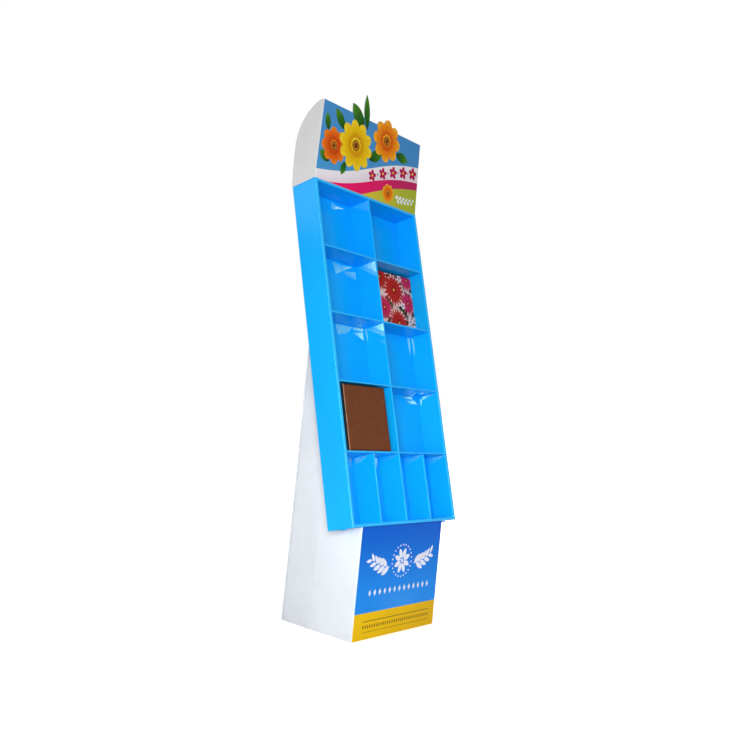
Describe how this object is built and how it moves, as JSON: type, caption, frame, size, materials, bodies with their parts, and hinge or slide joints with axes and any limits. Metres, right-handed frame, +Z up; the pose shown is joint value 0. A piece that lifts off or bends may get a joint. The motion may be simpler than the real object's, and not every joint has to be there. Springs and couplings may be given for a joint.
{
  "type": "cardboard display stand",
  "caption": "Free-standing cardboard display stand: white base, leaning blue tray of pockets with two cartons, and a printed header with die-cut edge and curved wings.",
  "frame": {"origin": "on the floor, under the middle of the bounding box", "axes": "+Z up, front towards -Y, +X to the right seen from the front"},
  "size_m": [0.5016, 0.3686, 1.6041],
  "materials": {
    "white_board": "satin laminated white board",
    "inner_board": "plain board, unprinted",
    "blue_board": "gloss laminated blue print",
    "header_board": "gloss laminated print on white board",
    "brown_print": "satin brown carton",
    "patterned_print": "gloss printed carton",
    "rivet_plastic": "moulded white plastic"
  },
  "bodies": {
    "root": {"base_shell": "white_board", "rest_panel": "inner_board", "floor_pan": "inner_board", "brace_long": "inner_board", "brace_cross": "inner_board", "tray_shell": "blue_board", "pocket_back": "blue_board", "centre_divider": "blue_board", "shelf_1": "blue_board", "shelf_2": "blue_board", "shelf_3": "blue_board", "shelf_4": "blue_board", "small_divider_left": "blue_board", "small_divider_right": "blue_board", "header": "header_board", "brown_carton": "brown_print", "patterned_carton": "patterned_print", "snap_rivets": "rivet_plastic"}
  },
  "joints": []
}
